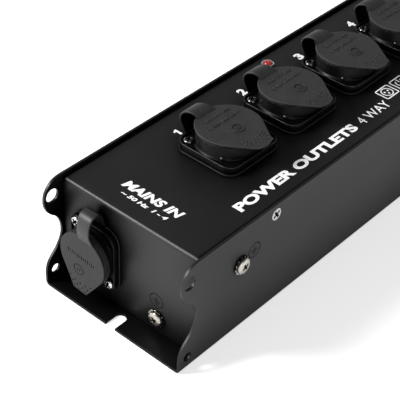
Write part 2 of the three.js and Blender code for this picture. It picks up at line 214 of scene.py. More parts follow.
def spread_angles(circles, n):
    """Angles spaced by outline length and by how sharply the outline turns."""
    turn_weight = 2.2
    fine = np.linspace(0, TAU, 2881)
    r = hull_radius(circles, 0, fine)
    points = np.stack([r * np.cos(fine), r * np.sin(fine)], 1)
    d = np.diff(points, axis=0)
    step = np.hypot(d[:, 0], d[:, 1])
    heading = np.unwrap(np.arctan2(d[:, 1], d[:, 0]))
    turn = np.abs(np.diff(np.concatenate([heading, [heading[0] + TAU]])))
    travel = np.concatenate([[0], np.cumsum(step + turn_weight * turn)])
    return np.interp(np.arange(n) / n * travel[-1], travel, fine)


def hull_outline(circles, n):
    """Angles round a hull, and a function that gives its radii there for an inset."""
    angles = spread_angles(circles, n)
    return angles, lambda inset: hull_radius(circles, inset, angles)


def polar_solid(rows, angles, cyclic=False):
    """Solid from (radius, z) rows; either may be one number or one per angle."""
    rings = []
    for radii, z in rows:
        radii = np.broadcast_to(radii, angles.shape)
        z = np.broadcast_to(z, angles.shape)
        rings.append(np.stack([radii * np.cos(angles), radii * np.sin(angles), z], 1).tolist())
    return ring_solid(rings, cyclic)


def rect_circles(width, height, radius, corner=None):
    """Corner circles of a rounded rectangle; corner is the +X +Y radius when it differs."""
    out = []
    for sx in (-1, 1):
        for sy in (-1, 1):
            r = corner if corner and sx > 0 and sy > 0 else radius
            out.append((sx * (width / 2 - r), sy * (height / 2 - r), r))
    return out


# ------------------------------------------------------------------ meshes and pieces
def to_mesh(part):
    mesh = bpy.data.meshes.new("m")
    mesh.from_pydata([tuple(v) for v in part[0]], [], [tuple(f) for f in part[1]])
    bm = bmesh.new()
    bm.from_mesh(mesh)
    bmesh.ops.remove_doubles(bm, verts=bm.verts, dist=1e-5)
    bmesh.ops.recalc_face_normals(bm, faces=bm.faces)
    bm.to_mesh(mesh)
    bm.free()
    return mesh


def add_object(name, data):
    obj = bpy.data.objects.new(name, data)
    SCENE.collection.objects.link(obj)
    return obj


def evaluated_mesh(obj):
    bpy.context.view_layer.update()
    graph = bpy.context.evaluated_depsgraph_get()
    return bpy.data.meshes.new_from_object(obj.evaluated_get(graph), depsgraph=graph)


def with_modifier(mesh, kind, **settings):
    """The mesh with one modifier applied."""
    obj = add_object("tmp", mesh)
    modifier = obj.modifiers.new("m", kind)
    for key, value in settings.items():
        setattr(modifier, key, value)
    out = evaluated_mesh(obj)
    bpy.data.objects.remove(obj)
    return out


def boolean(mesh, part, operation):
    cutter = add_object("cutter", to_mesh(part))
    out = with_modifier(mesh, "BOOLEAN", operation=operation, solver="EXACT", object=cutter)
    bpy.data.objects.remove(cutter)
    return out


def soften(mesh, width):
    return with_modifier(mesh, "BEVEL", width=width, segments=2, limit_method="ANGLE",
                         angle_limit=math.radians(42), use_clamp_overlap=True,
                         miter_outer="MITER_ARC")


def cleaned(mesh):
    tolerance = 2e-4
    bm = bmesh.new()
    bm.from_mesh(mesh)
    bmesh.ops.remove_doubles(bm, verts=bm.verts, dist=tolerance)
    bmesh.ops.dissolve_degenerate(bm, edges=bm.edges, dist=tolerance)
    bmesh.ops.recalc_face_normals(bm, faces=bm.faces)
    bm.to_mesh(mesh)
    bm.free()
    return mesh


def piece(name, source, material, body=ROOT, matrix=Matrix.Identity(4), replaces=(),
          angle=32, sheet=False):
    """Places a millimetre mesh as a named piece in metres; it rides on body if there is one."""
    mesh = source.copy()
    mesh.name = name
    mesh.transform(TO_METRES @ matrix)
    slots = np.zeros(len(mesh.polygons), dtype=np.int32)
    mesh.polygons.foreach_get("material_index", slots)
    mesh.materials.clear()
    materials = material if isinstance(material, list) else [material]
    for m in materials:
        mesh.materials.append(m)
    mesh.polygons.foreach_set("material_index", np.minimum(slots, len(materials) - 1))
    mesh.shade_smooth()
    mesh.set_sharp_from_angle(angle=math.radians(angle))
    if sheet:  # keeps the shading of wide flat faces even, up to their rounded edges
        mesh = with_modifier(mesh, "WEIGHTED_NORMAL", mode="FACE_AREA", weight=80, keep_sharp=True)
        mesh.name = name
    obj = add_object(name, mesh)
    if body:
        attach(obj, body)
    if replaces:
        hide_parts(*replaces)
    return obj


# ------------------------------------------------------------------ shader nodes
def feed(tree, socket, value):
    """Links the value in if it is a socket, and sets it otherwise."""
    if isinstance(value, bpy.types.NodeSocket):
        tree.links.new(value, socket)
    else:
        socket.default_value = value


def add_node(tree, kind, output, inputs=None, **settings):
    """Adds a shader node and returns one of its outputs."""
    node = tree.nodes.new("ShaderNode" + kind)
    for key, value in settings.items():
        setattr(node, key, value)
    for key, value in (inputs or {}).items():
        feed(tree, node.inputs[key], value)
    return node.outputs[output]


def noise(tree, vector, scale, detail, roughness=0.5):
    inputs = {"Scale": scale, "Detail": detail, "Roughness": roughness, "Vector": vector}
    return add_node(tree, "TexNoise", "Fac", inputs)


def bump(tree, height, normal, strength, distance):
    inputs = {"Strength": strength, "Distance": distance, "Height": height, "Normal": normal}
    return add_node(tree, "Bump", "Normal", inputs)


def map_range(tree, value, source, target=(0.0, 1.0)):
    inputs = {"Value": value, "From Min": source[0], "From Max": source[1],
              "To Min": target[0], "To Max": target[1]}
    return add_node(tree, "MapRange", "Result", inputs)


def maths(tree, operation, *values):
    return add_node(tree, "Math", 0, dict(enumerate(values)), operation=operation)


def scaled(tree, colour, factor):
    return add_node(tree, "VectorMath", "Vector", {0: colour, "Scale": factor}, operation="SCALE")


def colour_ramp(tree, factor, stops):
    """Two-stop ramp; stops are (position, rgb)."""
    node = tree.nodes.new("ShaderNodeValToRGB")
    for element, (position, colour) in zip(node.color_ramp.elements, stops):
        element.position = position
        element.color = (*colour, 1)
    tree.links.new(factor, node.inputs["Fac"])
    return node.outputs["Color"]


def scratched(tree, position, normal, strength):
    """Adds fine lines, drawn out along X, to the bump."""
    stretch = add_node(tree, "Mapping", "Vector",
                       {"Scale": (900, 9000, 2500), "Vector": position})
    lines = noise(tree, stretch, scale=1.0, detail=2)
    return bump(tree, lines, normal, strength, distance=1e-5)


def worn_edges_with_sheen(tree, position, colour, rounded, wear_and_sheen):
    """Mixes in the wear colour, in patches, where the rounded normal leaves the real one: worn
    edges, and a painted highlight along every rounded edge.
    """
    true_normal = add_node(tree, "NewGeometry", "Normal")
    match = add_node(tree, "VectorMath", "Value", {0: rounded, 1: true_normal},
                     operation="DOT_PRODUCT")
    worn_and_sheen_mask = map_range(tree, match, source=(0.995, 0.90))
    patches = noise(tree, position, scale=350, detail=3)
    strength = map_range(tree, patches, source=(0.4, 0.62), target=(0.25, 1.0))
    factor = maths(tree, "MULTIPLY", worn_and_sheen_mask, strength)
    return add_node(tree, "Mix", 2, {"Factor": factor, 6: colour, 7: (*wear_and_sheen, 1)},
                    data_type="RGBA")


def new_material(name):
    material = bpy.data.materials.new(name)
    material.use_nodes = True
    return material, material.node_tree, material.node_tree.nodes["Principled BSDF"].inputs


def surface(name, dark, light, rough, grain, blotch, metallic=0.0, height=2e-5, wear_and_sheen=None,
            edge=0.0003, coat=0.0, specular=0.5, scratch=0.0, rough_swing=0.06, speck=0.0,
            shade=1.5, reach=0.016):
    """Finish whose colour drifts between dark and light. Lengths are in metres.

    blotch: size of the soft colour patches      grain, height: size and depth of the fine bump
    wear_and_sheen, edge: colour and radius of worn edges; the colour also paints a highlight along
    them
    scratch: strength of fine lines              speck: brightness swing of small specks
    shade, reach: how strongly and from how far the painted shade darkens recesses
    """
    material, tree, shader = new_material(name)
    position = add_node(tree, "TexCoord", "Object")
    soft = noise(tree, position, scale=1 / blotch, detail=4)
    colour = colour_ramp(tree, soft, [(0.3, dark), (0.7, light)])
    fine = noise(tree, position, scale=1 / grain, detail=3, roughness=0.6)
    rounded = add_node(tree, "Bevel", "Normal", {"Radius": edge}, samples=4)
    normal = bump(tree, fine, rounded, strength=1.0, distance=height)
    if scratch:
        normal = scratched(tree, position, normal, scratch)
    feed(tree, shader["Normal"], normal)
    if speck:
        spots = noise(tree, position, scale=1 / (grain * 1.6), detail=1)
        swing = map_range(tree, spots, source=(0.35, 0.65), target=(1 - speck, 1 + speck))
        colour = scaled(tree, colour, swing)
    soft_share = maths(tree, "MULTIPLY", soft, 0.6)
    blend = maths(tree, "MULTIPLY_ADD", fine, 0.4, soft_share)
    roughness = map_range(tree, blend, source=(0.3, 0.7),
                          target=(rough - rough_swing, rough + rough_swing))
    if wear_and_sheen is not None:
        colour = worn_edges_with_sheen(tree, position, colour, rounded, wear_and_sheen)
    feed(tree, shader["Specular IOR Level"], specular)
    if shade:  # painted shade: colour and specular darken in the recesses, by ambient occlusion
        openness = add_node(tree, "AmbientOcclusion", "AO", {"Distance": reach}, samples=6)
        painted_shade = maths(tree, "POWER", openness, shade)
        colour = scaled(tree, colour, painted_shade)
        feed(tree, shader["Specular IOR Level"], maths(tree, "MULTIPLY", painted_shade, specular))
    feed(tree, shader["Base Color"], colour)
    feed(tree, shader["Roughness"], roughness)
    feed(tree, shader["Metallic"], metallic)
    feed(tree, shader["Coat Weight"], coat)
    return material


def glow(material, colour, strength):
    shader = material.node_tree.nodes["Principled BSDF"].inputs
    shader["Emission Color"].default_value = (*colour, 1)
    shader["Emission Strength"].default_value = strength


# ------------------------------------------------------------------ finishes
# Each finish's wear colour is mixed in along all rounded edges, as worn edges and as a painted edge
# highlight; shade and reach set a painted shade in the recesses.
POWDER = surface(
    "powder_coat_black", dark=(0.0070, 0.0072, 0.0075), light=(0.0100, 0.0102, 0.0105),
    rough=0.43, rough_swing=0.05, grain=0.00045, height=1.8e-5, blotch=0.03,
    wear_and_sheen=(0.03, 0.03, 0.031), edge=0.00035, specular=0.48, shade=2.0, reach=0.03)
PLASTIC_IN = surface(
    "connector_plastic_inlet", dark=(0.0035, 0.0035, 0.0036), light=(0.006, 0.006, 0.0062),
    rough=0.38, grain=0.0006, height=1.0e-5, blotch=0.012,
    wear_and_sheen=(0.03, 0.03, 0.031), edge=0.00018, specular=0.36, shade=2.0)
# the same black plastic as the inlet's; its light wear colour paints highlight lines along the
# outlet flange edges
PLASTIC = surface(
    "connector_plastic_black", dark=(0.0035, 0.0035, 0.0036), light=(0.006, 0.006, 0.0062),
    rough=0.36, grain=0.0006, height=1.0e-5, blotch=0.012,
    wear_and_sheen=(0.24, 0.24, 0.242), edge=0.0002, specular=0.4, shade=2.0)
# painted highlight: the pip is lighter grey than the housing so that it reads bright
PIP_HIGHLIGHT = surface(
    "pip_grey_painted_highlight", dark=(0.10, 0.10, 0.102), light=(0.15, 0.15, 0.152),
    rough=0.3, rough_swing=0.04, grain=0.0006, height=6e-6, blotch=0.003, edge=0.0001, shade=0)
RUBBER = surface(
    "cap_rubber_grey", dark=(0.028, 0.0284, 0.0288), light=(0.036, 0.0365, 0.037),
    rough=0.6, grain=0.00035, height=3.4e-5, blotch=0.008, wear_and_sheen=(0.10, 0.10, 0.101),
    edge=0.0004, specular=0.45, speck=0.24, shade=1.2, reach=0.006)
RUBBER_IN = surface(
    "cap_rubber_inlet", dark=(0.013, 0.0132, 0.0135), light=(0.021, 0.0213, 0.0216),
    rough=0.62, grain=0.00035, height=3.0e-5, blotch=0.008, wear_and_sheen=(0.085, 0.085, 0.086),
    edge=0.0004, specular=0.45, speck=0.12, shade=1.6, reach=0.005)
# strap rubber: a strong painted shade darkens the inside of the loops
STRAP_OUT = surface(
    "strap_rubber", dark=(0.0275, 0.0279, 0.0283), light=(0.0355, 0.036, 0.0365),
    rough=0.54, rough_swing=0.05, grain=0.0004, height=2.4e-5, blotch=0.008,
    wear_and_sheen=(0.05, 0.05, 0.051), speck=0.14, shade=3.0, reach=0.012)
STRAP_IN = surface(
    "strap_rubber_inlet", dark=(0.024, 0.0243, 0.0246), light=(0.032, 0.0323, 0.0326),
    rough=0.46, rough_swing=0.05, grain=0.0004, height=2.4e-5, blotch=0.008,
    wear_and_sheen=(0.05, 0.05, 0.051), speck=0.1, shade=3.0, reach=0.014)
SEAL = surface(
    "seal_rubber_black", dark=(0.008, 0.008, 0.0082), light=(0.013, 0.013, 0.0132),
    rough=0.5, grain=0.0004, blotch=0.01, wear_and_sheen=(0.03, 0.03, 0.03))
NICKEL = surface(
    "nickel_plated_steel", dark=(0.60, 0.56, 0.49), light=(0.78, 0.75, 0.68), metallic=1.0,
    rough=0.24, rough_swing=0.08, grain=0.0008, height=1.0e-5, blotch=0.003,
    wear_and_sheen=(0.9, 0.88, 0.83), edge=0.00015, scratch=0.5)
SILVER = surface(
    "zinc_screw_silver", dark=(0.74, 0.74, 0.73), light=(0.90, 0.90, 0.89), metallic=1.0,
    rough=0.24, rough_swing=0.07, grain=0.0008, height=5e-6, blotch=0.003,
    wear_and_sheen=(0.95, 0.95, 0.94), edge=0.00015, scratch=0.15, shade=0.6, reach=0.003)
BLACK_SCREW = surface(
    "screw_black_zinc", dark=(0.22, 0.22, 0.225), light=(0.36, 0.36, 0.365), metallic=1.0,
    rough=0.22, rough_swing=0.08, grain=0.0006, height=6e-6, blotch=0.002,
    wear_and_sheen=(0.9, 0.9, 0.9), edge=0.00035, shade=0.6, reach=0.003)
CHROME = surface(
    "bezel_chrome", dark=(0.86, 0.86, 0.87), light=(0.93, 0.93, 0.94), metallic=1.0,
    rough=0.2, rough_swing=0.03, grain=0.001, height=3e-6, blotch=0.004,
    wear_and_sheen=(0.95, 0.95, 0.95), edge=0.00012)
surface(  # a spare finish in the file's palette, worn by no piece
    "contact_brass", dark=(0.52, 0.38, 0.16), light=(0.66, 0.50, 0.24), metallic=1.0,
    rough=0.28, rough_swing=0.07, grain=0.0006, height=1e-5, blotch=0.003,
    wear_and_sheen=(0.8, 0.66, 0.36), edge=0.00015)
CARRIER = surface(
    "contact_carrier_grey", dark=(0.030, 0.032, 0.036), light=(0.042, 0.044, 0.048),
    rough=0.42, grain=0.0005, height=1.5e-5, blotch=0.006, wear_and_sheen=(0.08, 0.08, 0.085), edge=0.0002)
INK = surface(
    "print_white", dark=(0.84, 0.84, 0.83), light=(0.95, 0.95, 0.94),
    rough=0.5, rough_swing=0.04, grain=0.0004, height=6e-6, blotch=0.01, edge=0.00005, shade=0)
# painted light: the white print glows a little, to read brighter than the light on the panel leaves
# it
glow(INK, colour=(1, 1, 1), strength=0.3)
MARK = surface(
    "mark_dark", dark=(0.003, 0.003, 0.003), light=(0.005, 0.005, 0.005), rough=0.75,
    grain=0.0004, height=6e-6, blotch=0.01, edge=0.00005, specular=0.12, shade=0)
# painted shade: dark finishes for the faces inside the screws' driver recesses
DRIVER_SHADE = surface(
    "driver_recess_painted_shade", dark=(0.003, 0.003, 0.003), light=(0.006, 0.006, 0.006), rough=0.8,
    specular=0.1, grain=0.0005, height=8e-6, blotch=0.003, edge=0.0001)
DRIVER_SHADE_NICKEL = surface(
    "driver_recess_painted_shade_nickel", dark=(0.05, 0.042, 0.034), light=(0.10, 0.085, 0.07), rough=0.6,
    metallic=0.5, grain=0.0005, height=8e-6, blotch=0.003, edge=0.0001)
# CAD node: material name, dark, light, blotch
WIRE_FINISHES = {
    "wire_line": ("wire_brown", (0.09, 0.035, 0.015), (0.13, 0.05, 0.02), 0.01),
    "wire_neutral": ("wire_blue", (0.012, 0.055, 0.22), (0.02, 0.08, 0.30), 0.01),
    "wire_earth": ("wire_green_yellow", (0.03, 0.22, 0.03), (0.55, 0.50, 0.03), 0.006),
}
WIRES = {
    wire: surface(name, dark, light, rough=0.45, grain=0.0006, blotch=blotch, edge=0.0002)
    for wire, (name, dark, light, blotch) in WIRE_FINISHES.items()
}
LENS = surface(
    "lens_red", dark=(0.36, 0.012, 0.012), light=(0.52, 0.06, 0.05),
    rough=0.10, rough_swing=0.03, grain=0.0008, height=3e-6, blotch=0.0016,
    wear_and_sheen=(0.95, 0.62, 0.58), edge=0.0005, coat=1.0, shade=0)
glow(LENS, colour=(0.8, 0.05, 0.04), strength=0.06)


# ------------------------------------------------------------------ sheet metal
# Edge of the side walls at each end: (distance inboard of the cover's end face, z), downwards
EAR_OUTLINE = spline(
    [
        (3.0, 56.4), (-1.2, 56.4), (-4.2, 55.95), (-6.3, 55.05), (-7.9, 53.8), (-9.2, 52.2),
        (-10.2, 50.3), (-10.75, 48.0), (-10.8, 45.4), (-10.2, 42.7), (-8.8, 39.9), (-7.0, 37.9),
        (-5.3, 36.5), (-3.8, 34.7), (-2.4, 32.0), (-1.6, 29.0), (-1.4, 26.3), (-1.75, 24.0),
        (-2.5, 22.0), (-3.4, 20.3), (-4.7, 18.4), (-6.4, 16.6), (-8.2, 14.8), (-9.8, 12.8),
        (-10.9, 10.3), (-11.4, 7.4),
    ],
    steps=4,
)
EAR_HOLES = [(-6.1, 47.9, 3.4), (-6.3, 6.8, 2.3)]  # distance inboard of the end face, z, radius
COUNTERSINK = [(1.9, -2.0), (1.9, -1.36), (3.3, 0.04), (3.3, 1.0)]  # radius, height over wall
SLOT_DEPTH, SLOT_RADIUS = 9.0, 2.8  # slots in the floor, open at the ends of the tray
SIDE_EARTH_HOLE = (-103.5, 37.4)  # x, z
EARTH_HOLE_RADIUS = 2.3
COVER_HALF_WIDTH = HALF_WIDTH - SHEET - 0.4
COVER_LOW = SHEET + 0.3
LIP_LOW, LIP_INSET = 44, 0.8
CONNECTOR_HOLE_RADIUS = 12
LAMP_HOLE_RADIUS = 2.6
COVER_SCREW_HOLE_RADIUS = 1.8
FOLD_RADIUS = 2.0
TRAY_EDGE, COVER_EDGE = 0.22, 0.16  # width of the edge rounding


def channel_section(half, height):
    """Open channel of bent sheet, walls up; points of (across, up)."""
    quarter = math.pi / 2
    inner = BEND - SHEET
    left, right = (-half + BEND, BEND), (half - BEND, BEND)
    return [
        (-half, height),
        *arc(BEND, math.pi, quarter, 8, left),
        *arc(BEND, -quarter, quarter, 8, right),
        (half, height),
        (half - SHEET, height),
        *arc(inner, 0, -quarter, 8, right),
        *arc(inner, -quarter, -quarter, 8, left),
        (-half + SHEET, height),
    ]


def end_slot(side):
    start = side * (TRAY_END - SLOT_DEPTH)
    outline = [
        (start + side * SLOT_RADIUS + SLOT_RADIUS * math.cos(t) * -side, SLOT_RADIUS * math.sin(t))
        for t in np.linspace(-math.pi / 2, math.pi / 2, 17)
    ]
    mouth = side * (TRAY_END + 6)
    return prism(outline + [(mouth, SLOT_RADIUS), (mouth, -SLOT_RADIUS)], -1, 3)


def build_tray():
    section = channel_section(HALF_WIDTH, WALL_TOP)
    shell = to_mesh(ring_solid([[(x, y, z) for y, z in section] for x in (-TRAY_END, TRAY_END)]))
    # the side view that the channel is trimmed to
    past, ear_low = TRAY_END + 1, EAR_OUTLINE[-1][1]
    outline = [(-past, -1), (past, -1), (past, ear_low)]
    outline += [(HALF_LENGTH - inboard, z) for inboard, z in EAR_OUTLINE[::-1]]
    outline += [(-HALF_LENGTH + inboard, z) for inboard, z in EAR_OUTLINE]
    outline += [(-past, ear_low)]
    wall_y = HALF_WIDTH + 1
    trim = ring_solid([[(x, y, z) for x, z in outline] for y in (-wall_y, wall_y)])
    shell = boolean(shell, trim, "INTERSECT")
    cuts = []
    for side in (-1, 1):
        cuts.append(end_slot(side))
        for inboard, z, radius in EAR_HOLES:
            centre = (side * (HALF_LENGTH - inboard), z)
            for y in (-1, 1):
                cuts.append(rod(radius, y * (HALF_WIDTH - 4), y * wall_y, 1, centre, 36))
        for y in (-1, 1):
            profile = [(radius, y * (HALF_WIDTH + depth)) for radius, depth in COUNTERSINK]
            cuts.append(turned(profile, 32, 1, (side * COVER_SCREW_X, COVER_SCREW_Z)))
    cuts.append(rod(EARTH_HOLE_RADIUS, -wall_y, -HALF_WIDTH + 2, 1, SIDE_EARTH_HOLE, 24))
    shell = boolean(shell, merged(cuts), "DIFFERENCE")
    return cleaned(soften(cleaned(shell), TRAY_EDGE))


def fold_cutter(side):
    """Rounds a long top edge, which leaves a groove along the tray wall."""
    r = FOLD_RADIUS
    section = [(0.9, 0.6), (-r, 0.6)]
    section += [(-r + r * math.sin(t), -r + r * math.cos(t))
                for t in np.linspace(0, math.pi / 2, 9)]
    section += [(0.9, -r)]
    if side < 0:
        section = section[::-1]
    return ring_solid([
        [(x, side * (COVER_HALF_WIDTH + across), PANEL_TOP + up) for across, up in section]
        for x in (-HALF_LENGTH - 1, HALF_LENGTH + 1)
    ])


def build_cover():
    half_y = COVER_HALF_WIDTH
    section = channel_section(HALF_LENGTH, PANEL_TOP - COVER_LOW)
    shell = to_mesh(ring_solid([[(x, y, PANEL_TOP - z) for x, z in section]
                                for y in (-half_y, half_y)]))
    lips = []
    for side in (-1, 1):
        y0, y1 = sorted((side * half_y, side * (half_y - SHEET)))
        lips.append(block(-HALF_LENGTH + LIP_INSET, y0, LIP_LOW,
                          HALF_LENGTH - LIP_INSET, y1, PANEL_TOP - LIP_INSET))
    shell = boolean(shell, merged(lips), "UNION")
    cuts = []
    for name, place in FRAMES.items():
        x, y, z = place.to_translation()
        if name in ("inlet", "link"):
            side = -1 if name == "inlet" else 1
            cuts.append(rod(CONNECTOR_HOLE_RADIUS, side * (HALF_LENGTH - 4),
                            side * (HALF_LENGTH + 2), 0, (y, z), 40))
        else:
            cuts.append(rod(CONNECTOR_HOLE_RADIUS, PANEL_TOP - 4, PANEL_TOP + 2, 2, (x, y), 40))
    cuts.append(rod(LAMP_HOLE_RADIUS, PANEL_TOP - 4, PANEL_TOP + 2, 2, LAMP, 24))
    cuts.append(rod(EARTH_HOLE_RADIUS, -HALF_LENGTH - 2, -HALF_LENGTH + 4, 0, END_EARTH, 24))
    for x in (-1, 1):
        for y in (-1, 1):
            start, end = sorted((y * (half_y - 4), y * (half_y + 1)))
            cuts.append(rod(COVER_SCREW_HOLE_RADIUS, start, end, 1,
                            (x * COVER_SCREW_X, COVER_SCREW_Z), 20))
    cuts += [fold_cutter(side) for side in (-1, 1)]
    shell = boolean(shell, merged(cuts), "DIFFERENCE")
    return cleaned(soften(cleaned(shell), COVER_EDGE))


for name, build, replaced in (
    ("tray_shell", build_tray, "chassis_tray"),
    ("cover_shell", build_cover, "top_cover"),
):
    piece(name, build(), POWDER, replaces=[replaced], sheet=True)


# ------------------------------------------------------------------ screws
def cross_cutter(reach, arm, top, depth):
    """Plus-shaped recess, narrower at its floor; arm is half the width of each bar."""
    taper, above = 0.45, 0.5

    def plus(a, w, z):
        outline = [(a, -w), (a, w), (w, w), (w, a), (-w, a), (-w, w),
                   (-a, w), (-a, -w), (-w, -w), (-w, -a), (w, -a), (w, -w)]
        return [(x, y, z) for x, y in outline]

    # the same slope carried on above the head; the plus needs its corners in this order
    growth = 1 + (1 - taper) * above / depth
    return ring_solid([plus(reach * taper, arm * 0.8, top - depth),
                       plus(reach * growth, arm * 1.02, top + above)])


def shade_recess(mesh, profile, reach, floor):
    """Gives the faces inside the driver recess the second material, a dark one that paints the shade
    there.
    """
    top = [(radius, z) for radius, z in profile if z > floor][::-1]
    radii, heights = zip(*top)
    for face in mesh.polygons:
        x, y, z = face.center
        r = math.hypot(x, y)
        if r < reach * 1.02 and floor - 0.06 < z < np.interp(r, radii, heights) - 0.07:
            face.material_index = 1
    return mesh


def driven_screw(profile, cross, turn, floor):
    """Turned screw with a cross recess; cross is (reach, arm, top, depth)."""
    cutter = shifted(cross_cutter(*cross), turn=turn)
    mesh = boolean(to_mesh(turned(profile, 44)), cutter, "DIFFERENCE")
    return shade_recess(cleaned(mesh), profile, cross[0], floor)


def pan_screw(radius, height, seat, shank, length, cross):
    """Domed screw whose head sits at z = seat; cross is the reach of the recess."""
    profile = [
        (0.02, -length), (shank, -length), (shank, seat), (radius - 0.12, seat),
        (radius, seat + 0.12), (radius, seat + height * 0.42),
        (radius - radius * 0.04, seat + height * 0.58), (radius * 0.86, seat + height * 0.78),
        (radius * 0.68, seat + height * 0.91), (radius * 0.45, seat + height * 0.98),
        (0.02, seat + height),
    ]
    recess = (cross, cross * 0.33, seat + height, height * 0.7)
    return driven_screw(profile, recess, turn=0.5, floor=seat + height * 0.3)


def flat_screw():
    profile = [(0.02, -6.5), (1.5, -6.5), (1.5, -1.55), (2.86, -0.16), (2.92, -0.06), (2.86, 0.0),
               (0.02, 0.02)]
    return driven_screw(profile, (2.1, 0.58, 0.0, 0.9), turn=0.6, floor=-0.9)


def tooth_washer():
    """Washer whose twelve outer teeth are twisted out of its plane."""
    hole, root, tip = 2.3, 3.55, 4.4
    thickness, level = 0.5, 0.35
    teeth, steps = 12, 10
    n = teeth * steps
    angles = TAU * np.arange(n) / n
    phase = np.arange(n) % steps / steps
    tooth = (0.08 <= phase) & (phase <= 0.62)
    outer = np.where(tooth, tip, root)
    lift = np.where(tooth, (phase - 0.35) * 1.1, 0.0)
    low, high = level - thickness / 2, level + thickness / 2
    rows = [(hole, low), (root - 0.1, low), (outer, low + lift),
            (outer, high + lift), (root - 0.1, high), (hole, high)]
    return to_mesh(polar_solid(rows, angles, cyclic=True))


FLAT = flat_screw()
for x, end in ((-1, "inlet"), (1, "link")):
    for y, side in ((-1, "near"), (1, "far")):
        name = f"cover_screw_{side}_{end}"
        place = basis((-y, 0, 0), Z, (0, y, 0), (x * COVER_SCREW_X, y * HALF_WIDTH, COVER_SCREW_Z))
        piece(name + "_head", FLAT, [SILVER, DRIVER_SHADE], matrix=place, replaces=[name])

WASHER = tooth_washer()
WASHER_LIFT = Matrix.Translation((0, 0, 0.25))
EARTH_SCREW = pan_screw(radius=3.7, height=1.6, seat=0.95, shank=2.0, length=9.0, cross=1.75)
for name, place in (
    ("side_earth", basis(X, Z, MINUS_Y, (SIDE_EARTH[0], -HALF_WIDTH, SIDE_EARTH[1]))),
    ("end_earth", basis(MINUS_Y, Z, MINUS_X, (-HALF_LENGTH, *END_EARTH))),
):
    piece(name + "_tooth_washer", WASHER, NICKEL, matrix=place @ WASHER_LIFT,
          replaces=[name + "_washer"], angle=25)
    piece(name + "_pan_screw", EARTH_SCREW, [NICKEL, DRIVER_SHADE_NICKEL], matrix=place,
          replaces=[name + "_screw"])


# ------------------------------------------------------------------ connectors
# flange, lip: width, height, corner radius (and the +X +Y corner's radius when it differs)
# screw_at: x and -y of the second screw, mirrored for the first; screw_sink: seat below flange_top
# skirt: inner radius, outer radius and lower edge of the rim outside the collar
# strap: stations of y, z, x from, x to, thickness, from the gasket out and over to the cap
OUTLET = SimpleNamespace(
    flange=(34, 32.5, 5.4), flange_top=4.7, lip=(35, 33.4, 5.9), lip_top=1.2,
    collar_radius=14.7, collar_top=10.3, collar_flare=0.55, bore_radius=12.6,
    screw_at=(12.6, 12.0), screw_radius=2.3, screw_height=1.3, screw_cross=1.7, screw_sink=0.75,
    pocket_radius=2.25,
    cap_radius=15.3, tab_reach=20.6, tab_half=5.0, cap_base=10.9, cap_thickness=1.4, cap_turn=0.0,
    plug_radius=11.4, plug_low=7.6, skirt=None,
    hinge=(17.6, 8.8),
    strap=[
        (15.2, 0.7, -6.9, 3.2, 0.9), (16.4, 0.95, -7.1, 2.9, 0.95), (17.4, 1.75, -7.4, 2.3, 1.0),
        (18.5, 3.2, -7.7, 1.8, 1.0), (19.9, 5.1, -7.9, 1.5, 1.0), (21.15, 7.3, -7.9, 1.4, 1.0),
        (21.55, 9.6, -7.9, 1.4, 1.0), (20.8, 11.7, -7.8, 1.5, 1.0), (19.0, 13.2, -7.6, 1.8, 1.0),
        (16.8, 13.9, -7.3, 2.3, 1.0), (15.0, 13.65, -6.9, 3.2, 1.0), (13.4, 12.8, -6.5, 4.4, 1.0),
        (12.2, 12.0, -6.4, 5.2, 0.95), (11.2, 11.45, -6.2, 5.6, 0.6),
    ],
    plastic=[PLASTIC, PIP_HIGHLIGHT], rubber=RUBBER, strap_rubber=STRAP_OUT,
)
INLET = SimpleNamespace(
    flange=(26, 31, 4.5, 7.0), flange_top=3.9, lip=(26.8, 31.8, 5, 7.3), lip_top=1.1,
    collar_radius=12.2, collar_top=8.5, collar_flare=0.0, bore_radius=10.4,
    screw_at=(9.5, 12.0), screw_radius=2.4, screw_height=1.2, screw_cross=1.85, screw_sink=0.35,
    pocket_radius=2.35,
    cap_radius=13.2, tab_reach=18.9, tab_half=4.4, cap_base=8.8, cap_thickness=1.4,
    cap_turn=math.radians(-5), plug_radius=9.2, plug_low=6.2, skirt=(12.5, 13.0, 6.3),
    hinge=(18.2, 7.4),
    strap=[
        (14.2, 0.65, -1.6, 5.6, 0.9), (15.8, 0.85, -1.5, 5.5, 0.95), (17.6, 1.3, -1.4, 5.4, 1.0),
        (20.4, 2.1, -1.3, 5.5, 1.0), (23.4, 3.6, -1.1, 5.9, 1.0), (25.2, 5.9, -1.0, 6.4, 1.0),
        (25.3, 8.5, -0.8, 6.6, 1.0), (23.6, 10.5, -0.5, 6.6, 1.0), (20.4, 11.4, -0.4, 6.4, 1.0),
        (16.8, 11.3, -0.9, 6.1, 1.0), (13.9, 10.55, -1.4, 6.1, 1.0), (12.1, 9.9, -1.8, 6.3, 0.95),
        (10.4, 9.65, -2.1, 6.6, 0.9),
    ],
    plastic=PLASTIC_IN, rubber=RUBBER_IN, strap_rubber=STRAP_IN,
)
PIP_ANGLE = math.radians(209.5)
PIP_GAP = 0.95  # from the collar to the middle of the pip
TAB_LIFT = 0.25  # rise of the cap's top at the end of its tab
STRAP_STEPS = 6  # spline steps between strap stations
STRAP_HELD = 8  # path points at the cap end that get the full share
